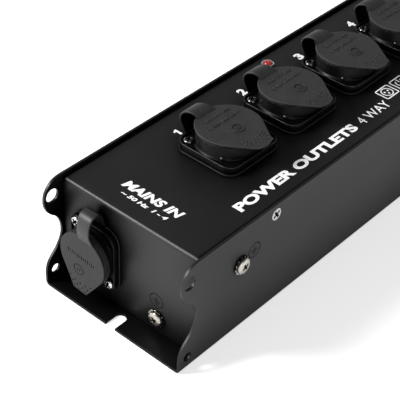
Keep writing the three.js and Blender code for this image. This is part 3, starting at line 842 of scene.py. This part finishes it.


def housing_mesh(kind):
    angles, rad = hull_outline(rect_circles(*kind.flange), 160)
    collar, rim, bore = kind.collar_radius, kind.collar_top, kind.bore_radius
    top, low = kind.flange_top, kind.lip_top + 0.3
    flare = np.clip((np.abs(np.cos(angles)) - 0.62) / 0.3, 0, 1)
    flare = flare * flare * (3 - 2 * flare)
    wide = kind.collar_flare

    def over(inset, gap):
        return np.maximum(rad(inset), collar + gap)

    rows = [
        # barrel behind the panel
        (5.4, -21.0), (11.3, -21.0), (11.6, -20.7), (11.6, low),
        # flange edge
        (rad(0.3), low), (rad(0.06), low + 0.1), (rad(0.0), low + 0.35),
        (rad(0.0), top - 0.24), (rad(0.05), top - 0.09), (rad(0.15), top),
        # flange face and the groove round the collar
        (over(0.5, 0.55), top), (over(0.6, 0.5), top - 0.07), (over(0.72, 0.46), top - 0.6),
        (over(0.85, 0.42), top - 0.7), (collar + 0.38 + wide * flare, top - 0.7),
        (collar + 0.1 + wide * 0.6 * flare, top - 0.52 + 0.4 * flare),
        (collar, top - 0.2 + 0.8 * flare),
        # collar
        (collar, rim - 0.4), (collar - 0.1, rim - 0.12), (collar - 0.38, rim),
        (bore + 0.45, rim), (bore + 0.1, rim - 0.1), (bore, rim - 0.4),
        # bore
        (bore, 3.45), (bore - 0.2, 3.2), (9.95, 3.2), (9.8, 3.0), (9.8, -17.8), (9.6, -18.0),
        (5.4, -18.0),
    ]
    mesh = to_mesh(polar_solid(rows, angles, cyclic=True))
    head = kind.pocket_radius
    pocket = turned(
        [(1.65, low - 1), (1.65, top - 1.0), (head + 0.3, top - 1.0), (head + 0.3, top - 0.25),
         (head + 0.75, top + 0.25), (head + 0.75, top + 4)], 40)
    x, y = kind.screw_at
    mesh = boolean(mesh, merged([shifted(pocket, s * x, -s * y) for s in (-1, 1)]), "DIFFERENCE")
    if kind is OUTLET:
        return with_pip(mesh, collar + PIP_GAP, top)
    return cleaned(mesh)


def with_pip(mesh, distance, top):
    """Adds a small round-topped pip beside the collar, in the second material, a lighter grey that
    paints a highlight on it.
    """
    x, y = distance * math.cos(PIP_ANGLE), distance * math.sin(PIP_ANGLE)
    pip = turned([(0.6, top - 1.2), (0.6, top + 0.7), (0.5, top + 1.0), (0.27, top + 1.2),
                  (0.02, top + 1.26)], 18)
    mesh = cleaned(boolean(mesh, shifted(pip, x, y), "UNION"))
    for face in mesh.polygons:
        centre = face.center
        if centre.z > top + 0.15 and math.hypot(centre.x - x, centre.y - y) < 0.62:
            face.material_index = 1
    return mesh


def gasket_mesh(kind):
    angles, rad = hull_outline(rect_circles(*kind.lip), 120)
    top = kind.lip_top
    rows = [(11.95, 0.12), (rad(0.2), 0.12), (rad(0.04), 0.2), (rad(0.0), 0.36),
            (rad(0.0), top - 0.3), (rad(0.06), top - 0.12), (rad(0.25), top), (11.95, top)]
    return to_mesh(polar_solid(rows, angles, cyclic=True))


def cap_circles(kind):
    """Round cap with a tab towards -Y."""
    corner = 1.3
    x, y = kind.tab_half - corner, -(kind.tab_reach - corner)
    circles = [(0, 0, kind.cap_radius), (x, y, corner), (-x, y, corner)]
    if kind is OUTLET:
        circles.append((0, -(kind.tab_reach - 6.2), 7.0))
    return circles


def cap_body(kind):
    angles, rad = hull_outline(cap_circles(kind), 168)
    base, top = kind.cap_base, kind.cap_base + kind.cap_thickness
    plug, low = kind.plug_radius, kind.plug_low
    # 0 on the round part, 1 at the end of the tab
    out = np.clip((rad(0) - kind.cap_radius) / (kind.tab_reach - kind.cap_radius), 0, 1)
    under = base + 0.62 * out**0.8

    def tab(share):
        return TAB_LIFT * (out * share) ** 2

    def side(share):
        return under + share * (top + tab(1) - under)

    if kind.skirt:  # rim that closes round the outside of the collar
        inner, outer, edge = kind.skirt
        start = np.maximum(np.minimum(rad(0.12), kind.cap_radius - 0.1), outer + 0.02)
        rim = [(inner, base), (inner, edge + 0.15), (inner + 0.12, edge), (outer - 0.15, edge),
               (outer, edge + 0.15), (outer, base - 0.1), (start, base)]
        foot = (0.1, 0.08, 0.04)
    else:
        rim = [(np.minimum(rad(0.5), kind.cap_radius - 0.6), base)]
        foot = (0.5, 0.28, 0.2)
    rows = [
        # hollow plug
        (0.4, base), (plug - 1.9, base), (plug - 1.65, base - 0.2), (plug - 1.6, low + 0.2),
        (plug - 1.4, low), (plug - 0.4, low), (plug - 0.1, low + 0.12), (plug, low + 0.4),
        (plug, base - 0.3), (plug + 0.3, base),
        *rim,
        # edge, with a groove round it
        (rad(foot[0]), under + 0.02), (rad(foot[1]), side(0.04)), (rad(foot[2]), side(0.12)),
        (rad(foot[2]), side(0.22)), (rad(0.42), side(0.28)), (rad(0.42), side(0.4)),
        (rad(0.06), side(0.46)), (rad(0.0), side(0.54)), (rad(0.0), side(0.78)),
        (rad(0.05), side(0.9)), (rad(0.16), side(0.97)), (rad(0.34), top + tab(1)),
        # top
        (rad(0) * 0.94, top + tab(0.9)), (rad(0) * 0.85, top + 0.02 + tab(0.8)),
        (rad(0) * 0.62, top + 0.06), (rad(0) * 0.35, top + 0.09), (rad(0) * 0.1, top + 0.1),
        (0.3, top + 0.1),
    ]
    return to_mesh(polar_solid(rows, angles))


def ring_mark(centre, strokes, ring_z, stroke_z):
    """A ring with short strokes inside; strokes are (x, y, x, y) from its centre."""
    cx, cy = centre
    parts = [ridge(loop(2.75, 40, centre), 0.5, *ring_z, closed=True)]
    for x0, y0, x1, y1 in strokes:
        parts.append(ridge([(cx + x0, cy + y0), (cx + x1, cy + y1)], 0.5, *stroke_z))
    return parts


def fan(radius, count, start, end):
    """Points on an arc between two angles in degrees."""
    for i in range(count):
        a = math.radians(start + (end - start) * i / (count - 1))
        yield radius * math.cos(a), radius * math.sin(a)


def outlet_marks(top):
    """Raised ring mark, two rows of small ticks with gaps, and domes on the tab."""
    low = top - 0.25
    parts = ring_mark((0.5, -4.4), [(-1.2, -1.0, -0.4, 1.0), (0.4, -1.0, 1.2, 1.0)],
                      (low, top + 0.48), (low, top + 0.48))
    tick_rows = [(8.3, -7.6, 8.8, 15), (3.6, -8.2, 10.2, 18)]  # y, x from, x to, count
    for row, (y, x0, x1, count) in enumerate(tick_rows):
        for i in range(count):
            if (i * 7 + row * 3) % 5 == 0:
                continue
            x = x0 + (x1 - x0) * i / (count - 1)
            half = 0.85 if (i + row) % 3 else 0.5
            lean = 0.18 * ((i * 5 + row) % 3 - 1)
            parts.append(ridge([(x - lean, y - half), (x + lean, y + half)], 0.44, low, top + 0.46))
    dome = turned([(0.45, low), (0.45, top + 0.16), (0.3, top + 0.4), (0.02, top + 0.5)], 8)
    # radius, count, angle from, angle to
    dome_rows = [(14.4, 8, -116, -64), (15.9, 7, -112, -68), (17.4, 6, -107, -73),
                 (18.8, 5, -102, -78)]
    for radius, *spread in dome_rows:
        out = (radius - OUTLET.cap_radius) / (OUTLET.tab_reach - OUTLET.cap_radius)
        lift = TAB_LIFT * max(out, 0) ** 2
        parts += [shifted(dome, x, y, lift) for x, y in fan(radius, *spread)]
    return parts


def inlet_marks(top):
    """Sunk ring mark, a row of short grooves, and dents on the tab."""
    parts = ring_mark((-1.35, -6.7), [(-1.0, -0.9, -0.2, 0.9), (0.3, -0.9, 1.1, 0.9)],
                      (top + 0.3, top - 0.3), (top - 0.3, top + 0.4))
    for i in range(14):
        x = -8.0 + 15.2 * i / 13
        half = (1.35, 0.8, 1.1, 0.8, 1.0)[i % 5]
        path = [(x - 0.14, 1.0 - half), (x + 0.14, 1.0 + half)]
        parts.append(ridge(path, 0.55, top - 0.35, top + 0.4))
    # dent radius, then radius, count, angle from, angle to
    dent_rows = [(0.5, 14.3, 5, -115, -65), (0.5, 16.15, 4, -106.5, -73.5),
                 (0.42, 17.6, 3, -100.5, -79.5)]
    for wide, *spread in dent_rows:
        dent = turned([(0.2, top - 0.5), (wide * 0.85, top - 0.2), (wide, top + 0.1),
                       (wide, top + 0.5)], 12)
        parts += [shifted(dent, x, y) for x, y in fan(*spread)]
    return parts


def cap_mesh(kind):
    top = kind.cap_base + kind.cap_thickness
    if kind is OUTLET:
        return cleaned(boolean(cap_body(kind), merged(outlet_marks(top)), "UNION"))
    return cleaned(boolean(cap_body(kind), merged(inlet_marks(top)), "DIFFERENCE"))


def strap_mesh(kind):
    """Flat band that leaves the gasket, loops out and over, and joins the cap; with its path."""
    stations = spline(kind.strap, STRAP_STEPS)
    path = stations[:, :2]
    n = len(path)
    rings = []
    for i, (y, z, x0, x1, thickness) in enumerate(stations):
        along = path[min(i + 1, n - 1)] - path[max(i - 1, 0)]
        along = along / np.linalg.norm(along)
        normal = (-along[1], along[0])
        r = thickness * 0.38
        middle_x, half_x, half_t = (x0 + x1) / 2, (x1 - x0) / 2 - r, thickness / 2 - r
        ring = []
        for quarter, (sx, st) in enumerate(((1, 1), (-1, 1), (-1, -1), (1, -1))):
            centre = (middle_x + sx * half_x, st * half_t)
            for x, rise in arc(r, quarter * math.pi / 2, math.pi / 2, 4, centre):
                ring.append((x, y + normal[0] * rise, z + normal[1] * rise))
        rings.append(ring)
    return to_mesh(ring_solid(rings)), path


def strap_weights(obj, kind, matrix, path):
    """Works out each point's share of the bend from its angle round the hinge, from the root to the
    cap; the shares are not stored or used.
    """
    hinge_y, hinge_z = kind.hinge
    swing = np.unwrap(np.arctan2(path[:, 1] - hinge_z, path[:, 0] - hinge_y))
    inverse = (TO_METRES @ matrix).inverted()
    points = np.array([list(inverse @ v.co) for v in obj.data.vertices])
    distance = (points[:, 1:2] - path[None, :, 0]) ** 2 + (points[:, 2:3] - path[None, :, 1]) ** 2
    nearest = np.argmin(distance, axis=1)
    first, last = STRAP_STEPS, len(path) - STRAP_HELD
    share = np.clip((swing[nearest] - swing[first]) / (swing[last] - swing[first]), 0, 1)
    share[nearest <= first] = 0
    share[nearest >= last] = 1


def connector_meshes(kind):
    return SimpleNamespace(
        housing=housing_mesh(kind), gasket=gasket_mesh(kind), cap=cap_mesh(kind),
        strap=strap_mesh(kind),
        screw=pan_screw(kind.screw_radius, kind.screw_height, kind.flange_top - kind.screw_sink,
                        shank=1.35, length=7.0, cross=kind.screw_cross),
    )


def add_strap(name, kind, place, strap):
    mesh, path = strap
    obj = piece(name + "_cap_strap", mesh, kind.strap_rubber, body=None, matrix=place,
                replaces=[name + "_gasket_strap"], angle=50)
    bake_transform(obj)
    strap_weights(obj, kind, place, path)


def add_flange_screws(name, kind, place, mesh):
    bright = name in ("inlet", "link")
    x, y = kind.screw_at
    for side, tag in ((-1, "a"), (1, "b")):
        # each screw is left at its own angle
        turn = Matrix.Rotation(0.3 + 0.5 * len(name) + side, 4, "Z")
        piece(f"{name}_flange_screw_{tag}", mesh, [SILVER if bright else BLACK_SCREW, DRIVER_SHADE],
              matrix=place @ Matrix.Translation((side * x, -side * y, 0)) @ turn,
              replaces=[f"{name}_screw_{tag}"])


def add_connector(name, kind, place, meshes):
    piece(name + "_socket_housing", meshes.housing, kind.plastic, matrix=place,
          replaces=[name + "_housing"])
    piece(name + "_gasket_lip", meshes.gasket, SEAL, matrix=place)
    piece(name + "_cap_cover", meshes.cap, kind.rubber, body=name + "_cap_body",
          matrix=place @ Matrix.Rotation(kind.cap_turn, 4, "Z"),
          replaces=[name + "_cap"], angle=38)
    add_strap(name, kind, place, meshes.strap)
    add_flange_screws(name, kind, place, meshes.screw)


OUTLET_MESHES, INLET_MESHES = connector_meshes(OUTLET), connector_meshes(INLET)
for name, place in FRAMES.items():
    if name == "inlet":
        add_connector(name, INLET, place, INLET_MESHES)
    else:  # the link socket is built like the outlets
        add_connector(name, OUTLET, place, OUTLET_MESHES)


# ------------------------------------------------------------------ pilot lamp
# (radius, height over the panel)
BEZEL_PROFILE = [
    (0.02, -9), (2.3, -9), (2.3, 0.05), (3.22, 0.05), (3.32, 0.14), (3.34, 0.3), (3.28, 0.5),
    (3.12, 0.7), (2.85, 0.86), (2.55, 0.92), (2.32, 0.86), (2.2, 0.72), (2.17, 0.5), (0.02, 0.5),
]
LENS_PROFILE = [
    (0.02, 0.55), (2.08, 0.55), (2.12, 0.85), (2.05, 1.08), (1.85, 1.32), (1.5, 1.54),
    (1.05, 1.72), (0.5, 1.82), (0.02, 1.84),
]
LAMP_PLACE = Matrix.Translation((*LAMP, PANEL_TOP))
piece("lamp_bezel_ring", to_mesh(turned(BEZEL_PROFILE, 64)), CHROME, matrix=LAMP_PLACE,
      replaces=["lamp_bezel"])
piece("lamp_lens_dome", to_mesh(turned(LENS_PROFILE, 48)), LENS, matrix=LAMP_PLACE,
      replaces=["lamp_lens"], angle=60)


# ------------------------------------------------------------------ lettering and symbols
PRINT_LOW, PRINT_THICK = -0.015, 0.05
PRINT_HIGH = PRINT_LOW + PRINT_THICK
ICON_LINE = 0.6


def text_mesh(text, height, width, bold, shear=0.0, spacing=1.0):
    """Thin lettering fitted to a height above the baseline and a width."""
    curve = bpy.data.curves.new("t", "FONT")
    curve.body = text
    curve.size = 1.0
    curve.offset = bold
    curve.shear = shear
    curve.space_character = spacing
    curve.fill_mode = "FRONT"
    curve.resolution_u = 4
    obj = add_object("t", curve)
    mesh = evaluated_mesh(obj)
    bpy.data.objects.remove(obj)
    bm = bmesh.new()
    bm.from_mesh(mesh)
    bmesh.ops.remove_doubles(bm, verts=bm.verts, dist=1e-4)
    xs = [v.co.x for v in bm.verts]
    left = min(xs)
    scale_x = width / (max(xs) - left)
    scale_y = height / max(v.co.y for v in bm.verts)
    for v in bm.verts:
        v.co = ((v.co.x - left) * scale_x, v.co.y * scale_y, 0)
    bmesh.ops.recalc_face_normals(bm, faces=bm.faces)
    out = bmesh.ops.extrude_face_region(bm, geom=list(bm.faces))
    for v in out["geom"]:
        if isinstance(v, bmesh.types.BMVert):
            v.co.z += PRINT_THICK
    bmesh.ops.recalc_face_normals(bm, faces=bm.faces)
    bmesh.ops.translate(bm, verts=bm.verts, vec=(0, 0, PRINT_LOW))
    bm.to_mesh(mesh)
    bm.free()
    return mesh


def panel_label(name, mesh, x, y, right=X, up=Y):
    """White print on the top panel."""
    piece(name, mesh, INK, matrix=basis(right, up, Z, (x, y, PANEL_TOP)), angle=30)


def stroke(path, width, closed=False):
    return ridge(path, width, PRINT_LOW, PRINT_HIGH, closed)


def disc(radius, centre):
    return prism(loop(radius, 20, centre), PRINT_LOW, PRINT_HIGH)


def icon_box():
    """Rounded box outline that frames an icon."""
    angles, rad = hull_outline(rect_circles(9.6, 8.2, 1.1), 72)
    outer, inner = rad(0), rad(ICON_LINE)
    rows = [(outer, PRINT_LOW), (outer, PRINT_HIGH), (inner, PRINT_HIGH), (inner, PRINT_LOW)]
    return polar_solid(rows, angles, cyclic=True)


def socket_icon():
    """A socket outline with its three contacts."""
    contacts = [disc(0.55, centre) for centre in ((-1.2, 0.5), (1.2, 0.5), (0, -1.2))]
    return to_mesh(merged([icon_box(), stroke(loop(2.9, 40), ICON_LINE, True), *contacts]))


def power_icon():
    """A plain on mark."""
    start, end, line = math.radians(128), math.radians(412), 0.75
    return to_mesh(merged([icon_box(), stroke(arc(2.6, start, end - start, 35), line),
                           stroke([(0, 0.6), (0, 3.2)], line)]))


def earth_symbol(size):
    """A stem over three shortening bars, in a circle."""
    half = size / 2
    parts = [stroke([(0, 0.62 * half), (0, 0.12 * half)], ICON_LINE)]
    for reach, y in ((0.6, 0.03), (0.4, -0.26), (0.18, -0.55)):
        parts.append(stroke([(-reach * half, y * half), (reach * half, y * half)], ICON_LINE))
    parts.append(stroke(loop(half, 56), 0.55, True))
    return to_mesh(merged(parts))


DIGIT_ONE = [(1.15, 0), (2.3, 0), (2.3, 4.3), (1.35, 4.3), (0.0, 3.45), (0.0, 2.55), (1.15, 3.1)]
# digit, middle x, width
for digit, x, width in (("1", -72.0, 2.3), ("2", -27.4, 3.9), ("3", 15.4, 3.9), ("4", 57.7, 4.1)):
    if digit == "1":
        mesh = to_mesh(prism(DIGIT_ONE, PRINT_LOW, PRINT_HIGH))
    else:
        mesh = text_mesh(digit, height=4.8, width=width, bold=0.045)
    panel_label("number_" + digit, mesh, x - width / 2, 22.9)

# beside the inlet the lettering reads along -Y
panel_label(
    "label_input",
    text_mesh("MAINS IN", height=4.7, width=32.5, bold=0.042, shear=0.2, spacing=1.02),
    -115.7, 16.9, right=MINUS_Y, up=X)
panel_label(
    "label_rating", text_mesh("~ 50 Hz  1 - 4", height=2.1, width=25.8, bold=0.04, shear=0.2),
    -120.0, 13.4, right=MINUS_Y, up=X)
TITLE_HEIGHT, TITLE_Y, ICON_Y = 5.2, -31.2, -23.6
panel_label("label_title", text_mesh("POWER OUTLETS", TITLE_HEIGHT, width=82.0, bold=0.045),
            -94.5, TITLE_Y)
panel_label("label_title_2", text_mesh("4 WAY", TITLE_HEIGHT, width=22.0, bold=0.0),
            -8.6, TITLE_Y)
panel_label("symbol_box_1", socket_icon(), 20.4, ICON_Y)
panel_label("symbol_box_2", power_icon(), 31.6, ICON_Y)
for name, size, place in (
    ("symbol_earth_end", 7.4, basis(MINUS_Y, Z, MINUS_X, (-HALF_LENGTH, -16.4, 18.7))),
    ("symbol_earth_side", 7.2, basis(X, Z, MINUS_Y, (-95.1, -HALF_WIDTH, 40.0))),
):
    piece(name, earth_symbol(size), MARK, matrix=place, angle=30)


# ------------------------------------------------------------------ CAD pieces kept as they are
def cad_finish(name):
    if name.startswith("wire_"):
        return WIRES[name]
    if name.endswith("_nut"):
        return NICKEL
    return CARRIER if name.endswith("_contacts") else None


for name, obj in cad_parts.items():
    finish = cad_finish(name)
    if finish is None:
        continue
    slots = obj.data.materials
    if len(slots) == 0:
        slots.append(finish)
    for i in range(len(slots)):
        slots[i] = finish


# ------------------------------------------------------------------ floor, world, lights, camera (m)
def floor_material():
    """Pale floor that glows more to the camera than it does to the box."""
    material, tree, shader = new_material("floor_pale")
    feed(tree, shader["Base Color"], (0.93, 0.93, 0.93, 1))
    feed(tree, shader["Roughness"], 0.9)
    feed(tree, shader["Emission Color"], (1, 1, 1, 1))
    seen = add_node(tree, "LightPath", "Is Camera Ray")
    strength = map_range(tree, seen, source=(0.0, 1.0), target=(0.345, 0.60))
    feed(tree, shader["Emission Strength"], strength)
    return material


def add_floor():
    half, z = 6.0, -0.0001
    mesh = bpy.data.meshes.new("floor")
    corners = [(-half, -half, z), (half, -half, z), (half, half, z), (-half, half, z)]
    mesh.from_pydata(corners, [], [(0, 1, 2, 3)])
    floor = add_object("floor", mesh)
    mesh.materials.append(floor_material())


def add_world():
    """White near the horizon, darker grey from 30 degrees up."""
    world = bpy.data.worlds.new("studio")
    SCENE.world = world
    world.use_nodes = True
    tree = world.node_tree
    background = tree.nodes["Background"].inputs
    direction = add_node(tree, "TexCoord", "Generated")
    height = add_node(tree, "SeparateXYZ", "Z", {0: direction})
    sky = colour_ramp(tree, height, [(0.12, (1.0, 1.0, 1.0)), (0.5, (0.185, 0.185, 0.19))])
    feed(tree, background["Color"], sky)
    feed(tree, background["Strength"], 0.9)


def add_area_light(name, location, target, width, height, power):
    light = bpy.data.lights.new(name, "AREA")
    light.shape = "RECTANGLE"
    light.size = width
    light.size_y = height
    light.energy = power
    obj = add_object(name, light)
    obj.location = location
    obj.rotation_mode = "QUATERNION"
    aim = Vector(target) - Vector(location)
    obj.rotation_quaternion = aim.to_track_quat("-Z", "Y")


def add_camera():
    data = bpy.data.cameras.new("camera")
    camera = add_object("camera", data)
    data.sensor_width = 36
    data.sensor_fit = "AUTO"
    data.lens = 111.4081664
    data.clip_start, data.clip_end = 0.01, 50
    camera.matrix_world = basis(
        x_axis=(0.66532815, -0.74588368, 0.03155937),
        y_axis=(0.45492448, 0.43858558, 0.77503962),
        z_axis=(-0.59193088, -0.50129855, 0.63112408),
        origin=(-0.4044137, -0.2712462, 0.3791236),
    )
    SCENE.camera = camera


add_floor()
add_world()
add_area_light("key_soft", location=(-0.95, 0.72, 0.88), target=(-0.1, 0, 0.04),
               width=0.34, height=0.42, power=20.0)
add_area_light("fill_front", location=(-0.55, -1.1, 0.5), target=(0, 0, 0.03),
               width=0.9, height=0.9, power=2.4)
add_camera()
SCENE.view_settings.view_transform = "Standard"
SCENE.view_settings.look = "None"
